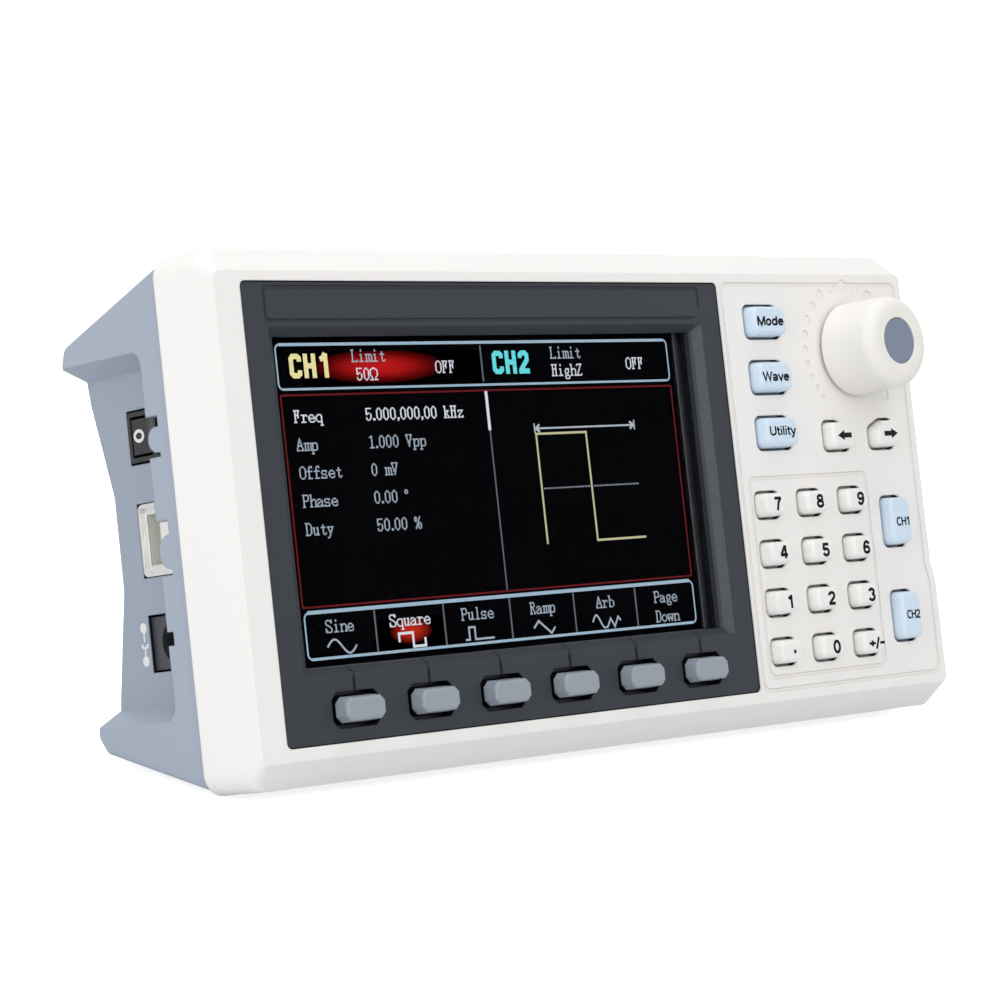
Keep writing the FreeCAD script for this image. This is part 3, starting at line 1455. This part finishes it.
def make_rocker():
    """A shallow V on a round drum, drawn about its pin with X along the switch and Y outwards."""
    body = doc.addObject("PartDesign::Body", "RockerBody")
    outline = [
        ("0", "-rocker_drum", "rocker_drum_edge"),
        (ROCKER_HALF, "-rocker_side_sink", "rocker_side_edge"),
        (ROCKER_HALF, "rocker_reach", "rocker_top_edge"),
        ("0", "rocker_valley", "0"),
        ("-(%s)" % ROCKER_HALF, "rocker_reach", "rocker_top_edge"),
        ("-(%s)" % ROCKER_HALF, "-rocker_side_sink", "rocker_side_edge"),
    ]
    sketch = sketched(body, "RockerOutline", "XY_Plane", "-(%s)" % ROCKER_TALL, [outline])
    pad = body.newObject("PartDesign::Pad", "RockerPad")
    pad.Profile = sketch
    bind(pad, "Length", "2 * (%s)" % ROCKER_TALL)
    tall = "(switch_high - switch_low) / 2 - rocker_pin_short"
    pin = rod("RockerPin", "z", "0", "0", "-(%s)" % tall, "2 * (%s)" % tall, "rocker_pin")
    return joined("SwitchRocker", [body, pin])


ROCKER_AT = ("-channel_floor + %s" % PIVOT_SINK, SWITCH_MIDDLE_Y, SWITCH_MIDDLE_Z)
rocker_turn = Rotation(Z_AXIS, 90 - number("rocker_tilt"))
node("switch_rocker", make_rocker(), *ROCKER_AT, turn=rocker_turn)

# ---------------------------------------------------------------- power inlet and data socket

PORT_FACE = "-channel_floor + port_sunk"
INLET_MIDDLE = "(inlet_low + inlet_high) / 2"
DATA_MIDDLE_Y = "(data_front + main_board_place) / 2"
DATA_MIDDLE_Z = "(data_low + data_high) / 2"

inlet_block = block("InletBlock", PORT_FACE, "%s + inlet_depth" % PORT_FACE, "inlet_front", "main_board_place",
                    "inlet_low", "inlet_high")
inlet_hole = rod("InletBore", "x", PORT_FACE + " - 1", "inlet_hole_place", INLET_MIDDLE, "inlet_hole_depth + 1",
                 "inlet_hole_radius")
node("power_inlet", cut("PowerInlet", inlet_block, [inlet_hole]))

inlet_pin = group("InletPin", [
    rod("InletPinRod", "x", "%s + inlet_hole_depth - inlet_pin_length" % PORT_FACE, "inlet_hole_place",
        INLET_MIDDLE, "inlet_pin_length", "inlet_pin_radius"),
])
node("power_pin", inlet_pin)

data_block = block("DataBlock", PORT_FACE, "%s + data_depth" % PORT_FACE, "data_front", "main_board_place",
                   "data_low", "data_high")
data_hole = block("DataBore", PORT_FACE + " - 1", "%s + data_hole_depth" % PORT_FACE,
                  DATA_MIDDLE_Y + " - data_hole_height / 2", DATA_MIDDLE_Y + " + data_hole_height / 2",
                  DATA_MIDDLE_Z + " - data_hole_width / 2", DATA_MIDDLE_Z + " + data_hole_width / 2")
node("data_socket", cut("DataSocket", data_block, [data_hole]))

tongue = group("DataTongue", [
    block("TongueBar", "%s + data_hole_depth - tongue_length" % PORT_FACE, "%s + data_hole_depth" % PORT_FACE,
          DATA_MIDDLE_Y + " - tongue_height / 2", DATA_MIDDLE_Y + " + tongue_height / 2",
          DATA_MIDDLE_Z + " - tongue_width / 2", DATA_MIDDLE_Z + " + tongue_width / 2"),
])
node("data_tongue", tongue)

# ---------------------------------------------------------------- output sockets
# Drawn about their own axis, X outwards, with X = 0 on the channel floor.

TO_RIGHT = Rotation(Vector(0, 1, 0), 90)


def make_output_shell():
    """The turned barrel with its inner flange and the two bayonet lugs."""
    body = turned("OutputTurned", [
        ("insulator_radius", "-casing_wall - output_flange_thick", "0"),
        ("output_flange", "-casing_wall - output_flange_thick", "0"),
        ("output_flange", "-casing_wall", "0"),
        ("output_radius", "-casing_wall", "0"),
        ("output_radius", "output_reach", "output_tip_edge"),
        ("output_bore", "output_reach", "output_bore_edge"),
        ("output_bore", "output_reach - output_bore_depth", "0"),
        ("insulator_radius", "output_reach - output_bore_depth", "0"),
    ])
    lugs = [
        rod("OutputLug%d" % side, "y", "0", low, "lug_place", "lug_reach - output_bore - lug_root", "lug_radius")
        for side, low in enumerate(("-lug_reach", "output_bore + lug_root"))
    ]
    return joined("OutputShell", [body] + lugs)


def row_of(name, piece):
    """The same piece at every output socket, as separate solids of one node."""
    copies = [
        placed("%s%d" % (name, index), piece, "0", "0", "0")
        for index in range(len(OUTPUTS))
    ]
    for index, level in enumerate(OUTPUTS):
        copies[index].Placement = Placement(Vector(), TO_RIGHT)
        bind(copies[index], "Placement.Base.x", "channel_floor")
        bind(copies[index], "Placement.Base.y", "output_depth")
        bind(copies[index], "Placement.Base.z", level)
    return group(name, copies)


node("output_shells", row_of("OutputShells", make_output_shell()))

output_nut = cut("OutputNut", hexagon("OutputNutPrism", "z", "output_nut_thick", "output_nut_flats"),
                 [rod("OutputNutBore", "z", "0", "0", "-1", "output_nut_thick + 2", "output_radius")])
node("output_nuts", row_of("OutputNuts", output_nut))

insulator = turned("OutputInsulator", [
    ("contact_radius", "-casing_wall - output_flange_thick", "0"),
    ("insulator_radius", "-casing_wall - output_flange_thick", "0"),
    ("insulator_radius", "output_reach - output_bore_depth + insulator_length", "insulator_edge"),
    ("contact_radius", "output_reach - output_bore_depth + insulator_length", "0"),
])
node("output_insulators", row_of("OutputInsulators", insulator))

contact = turned("OutputContact", [
    ("0", "-casing_wall - output_flange_thick", "0"),
    ("contact_radius", "-casing_wall - output_flange_thick", "0"),
    ("contact_radius", "output_reach - output_bore_depth + insulator_length", "0"),
    ("contact_hole", "output_reach - output_bore_depth + insulator_length", "0"),
    ("contact_hole", "output_reach - output_bore_depth", "0"),
    ("0", "output_reach - output_bore_depth", "0"),
])
node("output_contacts", row_of("OutputContacts", contact))

HOUSING_RIGHT = "channel_floor - casing_wall - output_flange_thick"
node("output_housings", group("OutputHousings", [
    block("OutputHousing%d" % index, HOUSING_RIGHT + " - housing_depth", HOUSING_RIGHT,
          "output_depth - housing_side / 2", "main_board_place",
          level + " - housing_side / 2", level + " + housing_side / 2")
    for index, level in enumerate(OUTPUTS)
]))

# ---------------------------------------------------------------- rubber feet
# A foot stands square on the sloped bottom, so that all four are level once it leans.


def make_feet():
    feet = []
    for index, (side, depth) in enumerate([(s, d) for s in (-1, 1) for d in ("foot_front", "foot_back")]):
        level = "casing_low + (%s - bezel_depth) * %s" % (depth, RISE)
        pad = rod("Foot%d" % index, "z", "0", "0", "-foot_height", "foot_height", "foot_radius")
        worn = eased("FootEdge%d" % index, pad, "foot_edge", lambda e: edge_at(e, Z_AXIS, -number("foot_height")))
        spot = group("FootSpot%d" % index, [worn])
        spot.Placement = Placement(Vector(), Rotation(X_AXIS, number("lean_angle")))
        bind(spot, "Placement.Base.x", "%d * foot_side" % side)
        bind(spot, "Placement.Base.y", depth)
        bind(spot, "Placement.Base.z", level)
        feet.append(spot)
    return group("RubberFeet", feet)


node("rubber_feet", make_feet())

# ---------------------------------------------------------------- posture and files

doc.recompute()
for obj, place in nodes:
    obj.Placement = Placement(Vector(), LEAN).multiply(place)
doc.recompute()
box = FreeCAD.BoundBox()
for obj, place in nodes:
    box.add(obj.Shape.optimalBoundingBox(False))
origin = Vector((box.XMin + box.XMax) / 2, (box.YMin + box.YMax) / 2, box.ZMin)
STAND = Placement(-origin, LEAN)
for obj, place in nodes:
    obj.Placement = STAND.multiply(place)
doc.recompute()

failed = [obj.Name for obj in doc.Objects if "Invalid" in obj.State or "Error" in obj.State]
if failed:
    raise RuntimeError("not computed: " + ", ".join(failed))
for obj, place in nodes:
    if obj.Shape.isNull() or not obj.Shape.isValid():
        raise RuntimeError("bad shape: " + obj.Label)

os.makedirs("parts", exist_ok=True)
for obj, place in nodes:
    obj.Shape.exportStep("parts/%s.step" % obj.Label)
print("nodes", len(nodes))
print("size %.2f x %.2f x %.2f" % (box.XLength, box.YLength, box.ZLength))
print("origin in the upright frame", tuple(round(value, 4) for value in LEAN.inverted().multVec(origin)))
